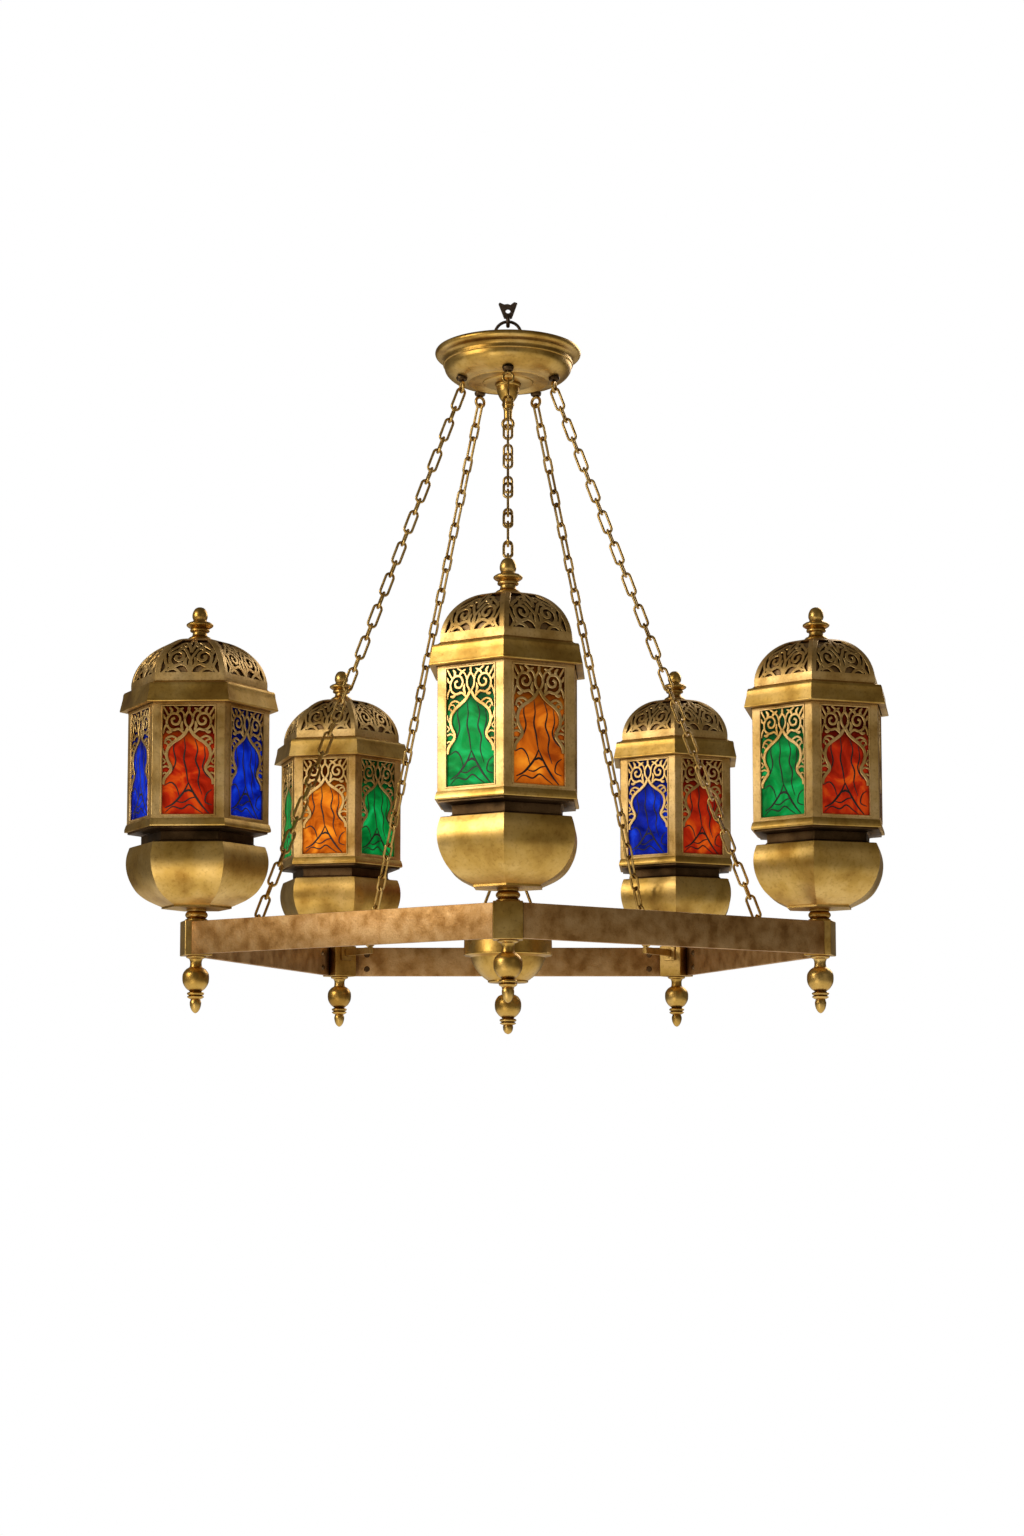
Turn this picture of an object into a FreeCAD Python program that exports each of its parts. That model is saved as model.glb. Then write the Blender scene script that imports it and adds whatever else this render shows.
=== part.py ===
import FreeCAD, Part
import math
import os

# Five-lantern brass chandelier. Millimetres, +Z up. Heights in this file are measured from the underside of
# the corner blocks; save() moves each piece so that the hanger's bolt hole is the origin.
# Compass angles are measured from -Y, positive towards +X.

# --- driving dimensions ---------------------------------------------------------------------------------
FRAME_R = 320.0                            # fixture's axis to each lantern's axis
CORNERS = [0.0, -72.0, 72.0, -144.0, 144.0]   # front, left, right, back left, back right
TURNS = [-3.0, 28.0, -11.0, 17.0, -4.0]    # how far each lantern is turned on its stem
BOLT_H = 678.0                             # hanger's bolt hole
FIT = 0.1                                  # clearance round the threaded tubes and screws
GAP = 0.4                                  # clearance between bodies that move apart

BLOCK_W = 27.0
BLOCK_H = 34.0
RAIL_T = 6.0
RAIL_H = 32.0
RAIL_OUT = 14.0                            # rail's outer face, out from the line between corner axes
TUBE_R = 5.0                               # hollow M10 tube that clamps each lantern's stack

STEM_TOP = 46.0
BOWL_TOP = 106.0
NECK_TOP = 121.0
CASE_TOP = 250.0
CASE_R = 70.0                              # to the corners of the hexagon
CORNICE_TOP = 262.0
CORNICE_R = 78.0
DOME_R = 67.5
DOME_TOP = 312.0
SHEET = 1.4                                # sheet brass
PANE_T = 3.0

CANOPY_R = 74.0
CANOPY_H = 632.0                           # widest point of the canopy's rim
CANOPY_BASE = 601.0
HOOK_R = 50.0                              # canopy's chain eyes, from the axis
HOOK_H = 588.0
LUG_R = 258.0                              # frame's chain eyes, from the axis
LUG_H = 41.0
WIRE = 1.35                                # chain wire's radius
LINK_W = 11.0
LONG_PITCH = 21.0
SHORT_PITCH = 14.0
SLACK = 0.2                                # play between one link and the next
EYE_R = 5.2                                # chain eyes: ring radius to the middle of the wire
EYE_WIRE = 1.6

RING_R = 13.5
RING_WIRE = 1.6
RING_H = 653.5                             # hanger ring's centre
BOSS_EYE_H = 553.0
BAIL_TOP = 130.0
BOWL_RIM = 28.0                            # centre bowl's rim
CENTRE_R = 46.5

# panes in order from each lantern's corner turned nearest the front, anticlockwise from above
PANES = [
    ["amber", "blue", "green", "red", "blue", "green"],
    ["blue", "green", "amber", "red", "blue", "red"],
    ["red", "blue", "green", "amber", "blue", "green"],
    ["green", "blue", "red", "blue", "green", "amber"],
    ["red", "blue", "green", "amber", "red", "blue"],
]


# --- shared shapes --------------------------------------------------------------------------------------
def vec(point):
    return FreeCAD.Vector(point[0], 0, point[1])


def turned(outline):
    """A solid of revolution about Z: (r, h) is a straight step, ((r, h), (r, h)) an arc by middle and end."""
    edges = []
    last = outline[0]
    for step in outline[1:] + [outline[0]]:
        if isinstance(step[0], tuple):
            edges.append(Part.Arc(vec(last), vec(step[0]), vec(step[1])).toShape())
            last = step[1]
        elif step != last:
            edges.append(Part.LineSegment(vec(last), vec(step)).toShape())
            last = step
    face = Part.Face(Part.Wire(edges))
    return face.revolve(FreeCAD.Vector(0, 0, 0), FreeCAD.Vector(0, 0, 1), 360)


def drum(radius, low, high):
    return Part.makeCylinder(radius, high - low, FreeCAD.Vector(0, 0, low))


def hexagon(radius, height):
    corners = []
    for k in range(7):
        a = math.radians(60 * k)
        corners.append(FreeCAD.Vector(radius * math.sin(a), -radius * math.cos(a), height))
    return Part.makePolygon(corners)


def hex_solid(levels):
    return Part.makeLoft([hexagon(r, h) for r, h in levels], True, True)


def hex_shell(levels, sheet):
    """An open six-sided shell: the levels go upwards, and the inner skin runs past both ends."""
    inner = [(r - sheet, h) for r, h in levels]
    inner = [(inner[0][0], inner[0][1] - 1)] + inner + [(inner[-1][0], inner[-1][1] + 1)]
    return hex_solid(levels).cut(hex_solid(inner))


def spin(shape, angle):
    done = shape.copy()
    done.rotate(FreeCAD.Vector(0, 0, 0), FreeCAD.Vector(0, 0, 1), angle)
    return done


def at_corner(shape, i, turn=None):
    """Moves a piece made on the Z axis to corner i; with no turn it faces out along the radius."""
    done = spin(shape, CORNERS[i] if turn is None else turn)
    a = math.radians(CORNERS[i])
    done.translate(FreeCAD.Vector(FRAME_R * math.sin(a), -FRAME_R * math.cos(a), 0))
    return done


def save(name, shape):
    moved = shape.copy()
    moved.translate(FreeCAD.Vector(0, 0, -BOLT_H))
    moved.exportStep("parts/" + name + ".step")


def save_group(name, shapes):
    save(name, Part.makeCompound(shapes))


# --- lantern --------------------------------------------------------------------------------------------
def corner_block():
    block = Part.makeBox(BLOCK_W, BLOCK_W, BLOCK_H, FreeCAD.Vector(-BLOCK_W / 2, -BLOCK_W / 2, 0))
    return block.cut(drum(TUBE_R + FIT, -1, BLOCK_H + 1))


def stem():
    outline = [
        (TUBE_R + FIT, BLOCK_H), (10.5, BLOCK_H), (10.5, BLOCK_H + 2), (8.5, BLOCK_H + 3),
        ((10.8, BLOCK_H + 6), (8.5, BLOCK_H + 9)), (9.5, BLOCK_H + 10), (9.5, STEM_TOP), (TUBE_R + FIT, STEM_TOP),
    ]
    return turned(outline)


def lantern_bowl():
    levels = [(34, STEM_TOP), (34, 48), (42, 51), (56, 59), (66, 73), (70, 89), (67, BOWL_TOP)]
    shell = hex_solid(levels)
    inner = [(r - SHEET, h + SHEET) for r, h in levels[1:-1]] + [(67 - SHEET, BOWL_TOP + 1)]
    return shell.cut(hex_solid(inner)).cut(drum(TUBE_R + FIT, 0, 100))


def neck():
    """Recessed gallery: a flange on the bowl's mouth, an upright band, and the disc that the case stands on."""
    band = hex_shell([(57, BOWL_TOP), (57, NECK_TOP - 2)], SHEET)
    mouth = hex_solid([(66, BOWL_TOP), (66, BOWL_TOP + 1.5)]).cut(hex_solid([(54, BOWL_TOP - 1), (54, BOWL_TOP + 3)]))
    disc = hex_solid([(69, NECK_TOP - 2), (69, NECK_TOP)]).cut(drum(TUBE_R + FIT, 100, 130))
    return band.fuse([mouth, disc]).removeSplitter()


def window(low, waist, apex):
    """Keyhole-arch opening through one face, as a solid that points along +Y."""
    half = 25.0
    corners = [
        (-half, low), (half, low), (half, waist), (half - 4, waist + 4), (half - 2, waist + 14),
        (12, waist + 24), (0, apex), (-12, waist + 24), (2 - half, waist + 14), (4 - half, waist + 4),
        (-half, waist),
    ]
    wire = Part.makePolygon([FreeCAD.Vector(x, 0, h) for x, h in corners + corners[:1]])
    return Part.Face(wire).extrude(FreeCAD.Vector(0, CASE_R + 10, 0))


def lantern_case():
    walls = hex_shell([(CASE_R + 2, NECK_TOP), (CASE_R + 2, NECK_TOP + 3), (CASE_R, NECK_TOP + 8),
                       (CASE_R, CASE_TOP)], SHEET)
    opening = window(NECK_TOP + 12, NECK_TOP + 62, NECK_TOP + 92)
    return walls.cut([spin(opening, 30 + 60 * k) for k in range(6)])


def pane():
    """Flat pane behind the window of one face, between the case's inner corners."""
    back = (CASE_R - SHEET) * math.cos(math.radians(30)) - PANE_T - 0.5
    box = Part.makeBox(60, PANE_T, 112, FreeCAD.Vector(-30, back, NECK_TOP + 10))
    return box


def cornice():
    """Six-sided cap ring with a sloping skirt that drops over the top of the case."""
    outer = hex_solid([(CORNICE_R, 241), (CORNICE_R, 244), (CORNICE_R - 3.5, 259), (DOME_R + 2, CORNICE_TOP)])
    sleeve = hex_solid([(CASE_R + GAP * 2, 240), (CASE_R + GAP * 2, CASE_TOP + GAP)])
    throat = hex_solid([(58, CASE_TOP), (58, CORNICE_TOP + 1)])
    return outer.cut([sleeve, throat])


def dome():
    levels = [(DOME_R, 0.0), (DOME_R, 7.0), (64.5, 18.0), (58, 30.0), (46, 41.0), (29.5, 48.0), (12, 50.0)]
    outer = hex_solid([(r, CORNICE_TOP + h) for r, h in levels])
    inner = hex_solid([(levels[0][0] - 2, CORNICE_TOP - 1)] + [(r - 2, CORNICE_TOP + h - 1.5) for r, h in levels[1:]])
    return outer.cut(inner).cut(drum(3 + FIT, CORNICE_TOP, DOME_TOP + 1))


def dome_finial():
    base = DOME_TOP
    outline = [
        (0, base - 8), (3, base - 8), (3, base), (9.5, base), ((10.5, base + 1.5), (9.5, base + 3)),
        (6.5, base + 5), (6.5, base + 7), (8.6, base + 8), ((9.2, base + 9.5), (8.6, base + 11)),
        (11.5, base + 13), ((12.6, base + 15), (11, base + 17)), (6, base + 19),
        ((6.9, base + 25), (4.5, base + 30)), ((3, base + 32.2), (0.8, base + 33)), (0, base + 33),
    ]
    return turned(outline)


def tie_tube():
    return drum(TUBE_R, -9, 131).cut(drum(TUBE_R - 1.5, -10, 132))


def lock_nuts():
    nuts = []
    for low in (STEM_TOP + SHEET + 2, NECK_TOP):
        body = hex_solid([(9.5, low), (9.5, low + 4)])
        nuts.append(body.cut(drum(TUBE_R + FIT, 0, 200)))
    return nuts


def lampholder():
    outline = [
        (0, 132), (TUBE_R + 3, 132), (TUBE_R + 3, 137), (13, 139), (13, 166), (8.5, 166), (8.5, 142), (0, 142),
    ]
    socket = turned(outline)
    collar = drum(TUBE_R + 3, 126, 132).cut(drum(TUBE_R + FIT, 120, 131.5))
    return socket.fuse(collar).removeSplitter()


def lamp():
    outline = [
        (0, 143), (7, 143), (7, 165), (9.5, 168), ((17.5, 192), (8.5, 225)), ((5, 238), (0.8, 245)), (0, 245),
    ]
    return turned(outline)


def drop_finial(top, ball_r):
    """Turned pendant: plate, neck, ball, stepped collar and pointed tip."""
    ball_h = top - 11 - ball_r * 0.9
    neck_h = ball_h + ball_r * 0.9
    foot_h = ball_h - ball_r * 0.9
    neck_r = ball_r * math.sqrt(1 - 0.9 ** 2)
    outline = [
        (0, top), (9, top), (9, top - 2), (neck_r + 1, top - 3), (neck_r, neck_h + 3), (neck_r, neck_h),
        ((ball_r, ball_h), (neck_r, foot_h)), (neck_r, foot_h - 2), (8, foot_h - 3),
        ((8.9, foot_h - 5), (8, foot_h - 7)), (5, foot_h - 9), ((5.6, foot_h - 15), (0.8, foot_h - 22)),
        (0, foot_h - 22),
    ]
    return turned(outline)


def clamped_finial():
    return drop_finial(0, 13).cut(drum(TUBE_R + FIT, -9.5, 1))


# --- frame ----------------------------------------------------------------------------------------------
def crossing(n1, d1, n2, d2):
    """Where two lines in plan meet; each is the points whose dot product with n is d."""
    det = n1[0] * n2[1] - n1[1] * n2[0]
    return ((d1 * n2[1] - d2 * n1[1]) / det, (n1[0] * d2 - n2[0] * d1) / det)


def rail():
    """Flat bar from the front corner block to the next one anticlockwise; its ends lie on the blocks' sides."""
    half_side = math.radians(36)
    face = (math.sin(half_side), -math.cos(half_side))
    middle = FRAME_R * math.cos(half_side)
    near = (1.0, 0.0)
    far_angle = math.radians(72)
    far = (math.cos(far_angle), math.sin(far_angle))
    lines = (middle + RAIL_OUT, middle + RAIL_OUT - RAIL_T)
    plan = [
        crossing(near, BLOCK_W / 2, face, lines[0]), crossing(far, -BLOCK_W / 2, face, lines[0]),
        crossing(far, -BLOCK_W / 2, face, lines[1]), crossing(near, BLOCK_W / 2, face, lines[1]),
    ]
    wire = Part.makePolygon([FreeCAD.Vector(x, y, 1) for x, y in plan + plan[:1]])
    return Part.Face(wire).extrude(FreeCAD.Vector(0, 0, RAIL_H))


def rail_screws():
    """Two countersunk heads on each rail's inner face beside every block."""
    half_side = math.radians(36)
    middle = FRAME_R * math.cos(half_side)
    along = FreeCAD.Vector(math.cos(half_side), math.sin(half_side), 0)
    inward = FreeCAD.Vector(-math.sin(half_side), math.cos(half_side), 0)
    centre = inward * -(middle + RAIL_OUT - RAIL_T)
    heads = []
    for step in (-158, 158):
        for height in (9, 25):
            foot = centre + along * step + FreeCAD.Vector(0, 0, height)
            heads.append(Part.makeCone(3.2, 2.2, 1.6, foot, inward))
    return heads


# --- chains ---------------------------------------------------------------------------------------------
def oval_link(pitch, width, wire):
    """One closed link with its long way along X, lying in the XZ plane; pitch is its inside length."""
    bend = width / 2 - wire
    half = pitch / 2 + wire - bend
    ends = []
    for side in (1, -1):
        torus = Part.makeTorus(bend, wire, FreeCAD.Vector(0, 0, 0), FreeCAD.Vector(0, 1, 0))
        keep = Part.makeBox(width, width, 2 * width, FreeCAD.Vector(0, -width / 2, -width))
        if side < 0:
            keep.translate(FreeCAD.Vector(-width, 0, 0))
        end = torus.common(keep)
        end.translate(FreeCAD.Vector(side * half, 0, 0))
        ends.append(end)
    legs = []
    for height in (bend, -bend):
        legs.append(Part.makeCylinder(wire, 2 * half, FreeCAD.Vector(-half, 0, height), FreeCAD.Vector(1, 0, 0)))
    return ends[0].fuse([ends[1]] + legs).removeSplitter()


def along_run(shape, middle, run, quarter):
    """Lays a link made along X on a run that lies in the YZ plane, turned about it by quarters."""
    done = shape.copy()
    done.rotate(FreeCAD.Vector(0, 0, 0), FreeCAD.Vector(1, 0, 0), 90 * quarter)
    side = FreeCAD.Vector(1, 0, 0)
    turn = FreeCAD.Rotation(run, side, run.cross(side), "XYZ")
    done.Placement = FreeCAD.Placement(middle, turn).multiply(done.Placement)
    return done


def chain(start, end):
    """Long and short links by turns from start to end; the pitches stretch a little to fill the run."""
    run = FreeCAD.Vector(*end) - FreeCAD.Vector(*start)
    pairs = round((run.Length - LONG_PITCH) / (LONG_PITCH + SHORT_PITCH))
    scale = run.Length / (pairs * (LONG_PITCH + SHORT_PITCH) + LONG_PITCH)
    pitches = [LONG_PITCH, SHORT_PITCH] * pairs + [LONG_PITCH]
    shapes = {p: oval_link(p * scale + SLACK, LINK_W, WIRE) for p in (LONG_PITCH, SHORT_PITCH)}
    links = []
    done = 0.0
    for k, pitch in enumerate(pitches):
        middle = FreeCAD.Vector(*start) + run * ((done + pitch * scale / 2) / run.Length)
        links.append(along_run(shapes[pitch], middle, run, k % 2))
        done += pitch * scale
    return links


def frame_chain():
    """Chain of the front corner: its first link hangs in the canopy's eye and its last pulls up on the lug's."""
    return chain((0, -HOOK_R, HOOK_H + EYE_WIRE), (0, -LUG_R, LUG_H - EYE_WIRE))


def centre_chain():
    """Plain chain down the axis; its first link has play on the boss's ring, because it swings there."""
    return chain((0, 0, BOSS_EYE_H + 1.7 + GAP), (0, 0, BAIL_TOP - 1.7))


def canopy_eye():
    """Screw eye under the canopy: a ring that faces the fixture's axis, and a shank through the sheet."""
    ring = Part.makeTorus(EYE_R, EYE_WIRE, FreeCAD.Vector(0, -HOOK_R, HOOK_H + EYE_R), FreeCAD.Vector(0, 1, 0))
    shank = Part.makeCylinder(EYE_WIRE, 15, FreeCAD.Vector(0, -HOOK_R, HOOK_H + 2 * EYE_R))
    return ring.fuse(shank).removeSplitter()


def chain_lug():
    """Arm screwed to the block's inner face that ends in an upright eye for the chain."""
    inner = -(FRAME_R - BLOCK_W / 2)
    reach = inner + LUG_R
    arm = Part.makeBox(5, -reach + 3, 7, FreeCAD.Vector(-2.5, inner, 22.5))
    foot = Part.makeBox(14, 2, 16, FreeCAD.Vector(-7, inner, 18))
    ring = Part.makeTorus(EYE_R, EYE_WIRE, FreeCAD.Vector(0, -LUG_R, LUG_H - EYE_R), FreeCAD.Vector(0, 1, 0))
    return foot.fuse([arm, ring]).removeSplitter()


# --- canopy, hanger and centre drop ---------------------------------------------------------------------
def canopy():
    """Spun brass bowl with a rolled rim, a cove, a step and a flat base with a raised disc."""
    top = CANOPY_H + 4
    outline = [
        (CANOPY_R - 2, top), ((CANOPY_R, CANOPY_H + 1), (CANOPY_R - 1.5, CANOPY_H - 3)),
        ((CANOPY_R - 5, CANOPY_H - 5), (CANOPY_R - 8, CANOPY_H - 10)), (CANOPY_R - 9, CANOPY_H - 10.5),
        (CANOPY_R - 9, CANOPY_H - 13), ((61, CANOPY_H - 22), (50, CANOPY_BASE + 3)),
        ((46, CANOPY_BASE + 1), (40, CANOPY_BASE + 1)), (27, CANOPY_BASE + 1), (25, CANOPY_BASE),
        (4.2, CANOPY_BASE), (4.2, CANOPY_BASE + 2), (24, CANOPY_BASE + 2), (26, CANOPY_BASE + 3),
        (40, CANOPY_BASE + 3), ((45.4, CANOPY_BASE + 3), (49, CANOPY_BASE + 5)),
        ((59.4, CANOPY_H - 21), (CANOPY_R - 11, CANOPY_H - 12.5)), (CANOPY_R - 11, CANOPY_H - 9),
        ((CANOPY_R - 7, CANOPY_H - 4), (CANOPY_R - 3.8, CANOPY_H - 1.5)), (CANOPY_R - 4, top),
    ]
    bowl = turned(outline)
    holes = [spin(drum(1.7, 590, 620).translated(FreeCAD.Vector(0, -HOOK_R, 0)), a) for a in CORNERS]
    return bowl.cut(holes)


def eye_nuts():
    nuts = []
    for angle in CORNERS:
        nut = hex_solid([(3.8, 609), (3.8, 612)]).cut(drum(1.7, 600, 620))
        nuts.append(spin(nut.translated(FreeCAD.Vector(0, -HOOK_R, 0)), angle))
    return nuts


def canopy_boss():
    """Inverted bell under the canopy that draws out into a slim stem with a ring at its end."""
    outline = [
        (0, CANOPY_BASE - FIT), (13, CANOPY_BASE - FIT), ((13.2, 598), (11.5, 594)), ((6.5, 588), (5.5, 580)),
        (6.2, 579), (6.2, 577), (5, 576), (4.2, BOSS_EYE_H + 10.5), (0, BOSS_EYE_H + 10.5),
    ]
    ring = Part.makeTorus(5.4, 1.7, FreeCAD.Vector(0, 0, BOSS_EYE_H + 5.4), FreeCAD.Vector(0, 1, 0))
    return turned(outline).fuse(ring).removeSplitter()


def canopy_loop():
    """Stem that passes through the canopy's base, with a nut flange, and a closed loop for the hanger ring."""
    loop_h = RING_H - RING_R + RING_WIRE + 0.5 - 5.0
    loop = Part.makeTorus(7.0, 2.0, FreeCAD.Vector(0, 0, loop_h), FreeCAD.Vector(1, 0, 0))
    shank = drum(4, CANOPY_BASE, loop_h - 6.5)
    flange = hex_solid([(11, CANOPY_BASE + 2), (11, CANOPY_BASE + 7)])
    return loop.fuse([shank, flange]).removeSplitter()


def hanger_ring():
    return Part.makeTorus(RING_R, RING_WIRE, FreeCAD.Vector(0, 0, RING_H), FreeCAD.Vector(0, 1, 0))


def hanger():
    """Forged iron: fishtail blade with the bolt hole, a shank, and an eye that holds the ring."""
    eye_r = 4.6
    eye_wire = 2.1
    eye_h = RING_H + RING_R - RING_WIRE - 0.5 + eye_r - eye_wire
    corners = [
        (-2.4, eye_h + 3), (2.4, eye_h + 3), (4.2, 671), (9.8, 686.5), (6.5, 687.5), (2.5, 684.5), (0, 685.5),
        (-4, 685), (-8.5, 687), (-9.8, 685.8), (-4.2, 671),
    ]
    wire = Part.makePolygon([FreeCAD.Vector(x, -2, h) for x, h in corners + corners[:1]])
    blade = Part.Face(wire).extrude(FreeCAD.Vector(0, 4, 0))
    bolt = Part.makeCylinder(2.6, 12, FreeCAD.Vector(0, -6, BOLT_H), FreeCAD.Vector(0, 1, 0))
    eye = Part.makeTorus(eye_r, eye_wire, FreeCAD.Vector(0, 0, eye_h), FreeCAD.Vector(1, 0, 0))
    return blade.fuse(eye).cut(bolt).removeSplitter()


def centre_bowl():
    """Round dish with an upright rim band, on a hollow foot."""
    band = BOWL_RIM - 16
    outline = [
        (CENTRE_R, BOWL_RIM), (CENTRE_R, band + 2), (CENTRE_R - 1, band), (40, band - 2),
        ((34, -6), (19, -19)), (19, -21), (4.2, -21), (4.2, -19), (17.5, -19), (18, -17.6),
        ((32.6, -5), (38.4, band)), (CENTRE_R - 1.5, band + 2.5), (CENTRE_R - 1.5, BOWL_RIM),
    ]
    return turned(outline)


def centre_bail():
    """Three strip legs from an eye on the axis down to the inside of the dish's rim, joined by a rod."""
    foot_r = CENTRE_R - 3.2
    foot_h = BOWL_RIM - 8
    top_h = BAIL_TOP - 14
    run = FreeCAD.Vector(0, -foot_r + 2.5, foot_h - top_h)
    leg = Part.makeCylinder(1.5, run.Length, FreeCAD.Vector(0, -2.5, top_h), run)
    pad = Part.makeCylinder(3.5, 1.4, FreeCAD.Vector(0, -foot_r - 1.4, foot_h), FreeCAD.Vector(0, 1, 0))
    legs = []
    for angle in (60, 180, 300):
        legs.append(spin(leg.fuse(pad), angle))
    hub = drum(5, top_h - 4, top_h + 4)
    post = drum(2, top_h, BAIL_TOP - 10)
    ring = Part.makeTorus(5.4, 1.7, FreeCAD.Vector(0, 0, BAIL_TOP - 5.4), FreeCAD.Vector(0, 1, 0))
    return hub.fuse(legs + [post, ring]).removeSplitter()


def centre_finial():
    shank = drum(4, -21, -13)
    nut = hex_solid([(8, -19), (8, -14.5)])
    return drop_finial(-21, 13.5).fuse([shank, nut]).removeSplitter()


# --- write every piece ----------------------------------------------------------------------------------
for i in range(5):
    number = str(i + 1)
    save("lantern_case_" + number, at_corner(lantern_case(), i, TURNS[i]))
    save("lantern_bowl_" + number, at_corner(lantern_bowl(), i, TURNS[i]))
    save("cornice_" + number, at_corner(cornice(), i, TURNS[i]))
    save("dome_" + number, at_corner(dome(), i, TURNS[i]))
    save("dome_finial_" + number, at_corner(dome_finial(), i, TURNS[i]))
    save("rail_" + number, spin(rail(), 72 * i))
    save_group("chain_" + number, [spin(link, CORNERS[i]) for link in frame_chain()])

one_pane = pane()
for colour in ("blue", "red", "green", "amber"):
    panes = []
    for i in range(5):
        for k in range(6):
            if PANES[i][k] == colour:
                panes.append(at_corner(spin(one_pane, 210 + 60 * k), i, TURNS[i]))
    save_group("glass_" + colour, panes)

save_group("necks", [at_corner(neck(), i, TURNS[i]) for i in range(5)])
save_group("corner_blocks", [at_corner(corner_block(), i) for i in range(5)])
save_group("stems", [at_corner(stem(), i) for i in range(5)])
save_group("tie_tubes", [at_corner(tie_tube(), i) for i in range(5)])
save_group("lock_nuts", [at_corner(nut, i, TURNS[i]) for i in range(5) for nut in lock_nuts()])
save_group("lampholders", [at_corner(lampholder(), i) for i in range(5)])
save_group("lamps", [at_corner(lamp(), i) for i in range(5)])
save_group("drop_finials", [at_corner(clamped_finial(), i) for i in range(5)])
save_group("chain_lugs", [spin(chain_lug(), a) for a in CORNERS])
save_group("rail_screws", [spin(head, 72 * i) for i in range(5) for head in rail_screws()])
save_group("canopy_eyes", [spin(canopy_eye(), a) for a in CORNERS])
save_group("eye_nuts", eye_nuts())
save("canopy", canopy())
save("canopy_boss", canopy_boss())
save("canopy_loop", canopy_loop())
save("hanger_ring", hanger_ring())
save("hanger", hanger())
save_group("centre_chain", centre_chain())
save("centre_bail", centre_bail())
save("centre_bowl", centre_bowl())
save("centre_finial", centre_finial())
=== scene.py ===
import math

import bmesh
import bpy
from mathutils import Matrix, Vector


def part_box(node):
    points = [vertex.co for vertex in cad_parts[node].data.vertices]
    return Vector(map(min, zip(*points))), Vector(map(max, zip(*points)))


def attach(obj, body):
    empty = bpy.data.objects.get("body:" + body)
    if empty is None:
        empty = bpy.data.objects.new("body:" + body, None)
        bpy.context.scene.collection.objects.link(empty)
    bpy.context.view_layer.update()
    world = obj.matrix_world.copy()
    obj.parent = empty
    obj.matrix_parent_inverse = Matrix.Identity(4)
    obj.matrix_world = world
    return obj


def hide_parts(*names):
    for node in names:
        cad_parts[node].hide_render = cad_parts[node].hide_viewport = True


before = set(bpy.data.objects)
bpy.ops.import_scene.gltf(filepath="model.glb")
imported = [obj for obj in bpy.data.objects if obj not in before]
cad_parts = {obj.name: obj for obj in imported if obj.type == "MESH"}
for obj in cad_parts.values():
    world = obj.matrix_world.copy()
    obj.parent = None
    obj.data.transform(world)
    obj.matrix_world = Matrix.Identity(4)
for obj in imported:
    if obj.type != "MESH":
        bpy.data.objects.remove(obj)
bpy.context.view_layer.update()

# --- Canopy ---------------------------------------------------------------------------------------------
# A spun brass bowl, 151 mm across: rolled rim, cove, bead, shallow bowl and a flat base with a raised disc.
# The stem of the hanging loop passes through its base and is nutted down inside.
MM = 0.001
WELD = 0.000002                            # metres; points closer than this are one point
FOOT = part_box("corner_blocks")[0].z        # every height below is in millimetres above the frame's underside
AXIS = (0.0, 0.0)


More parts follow.
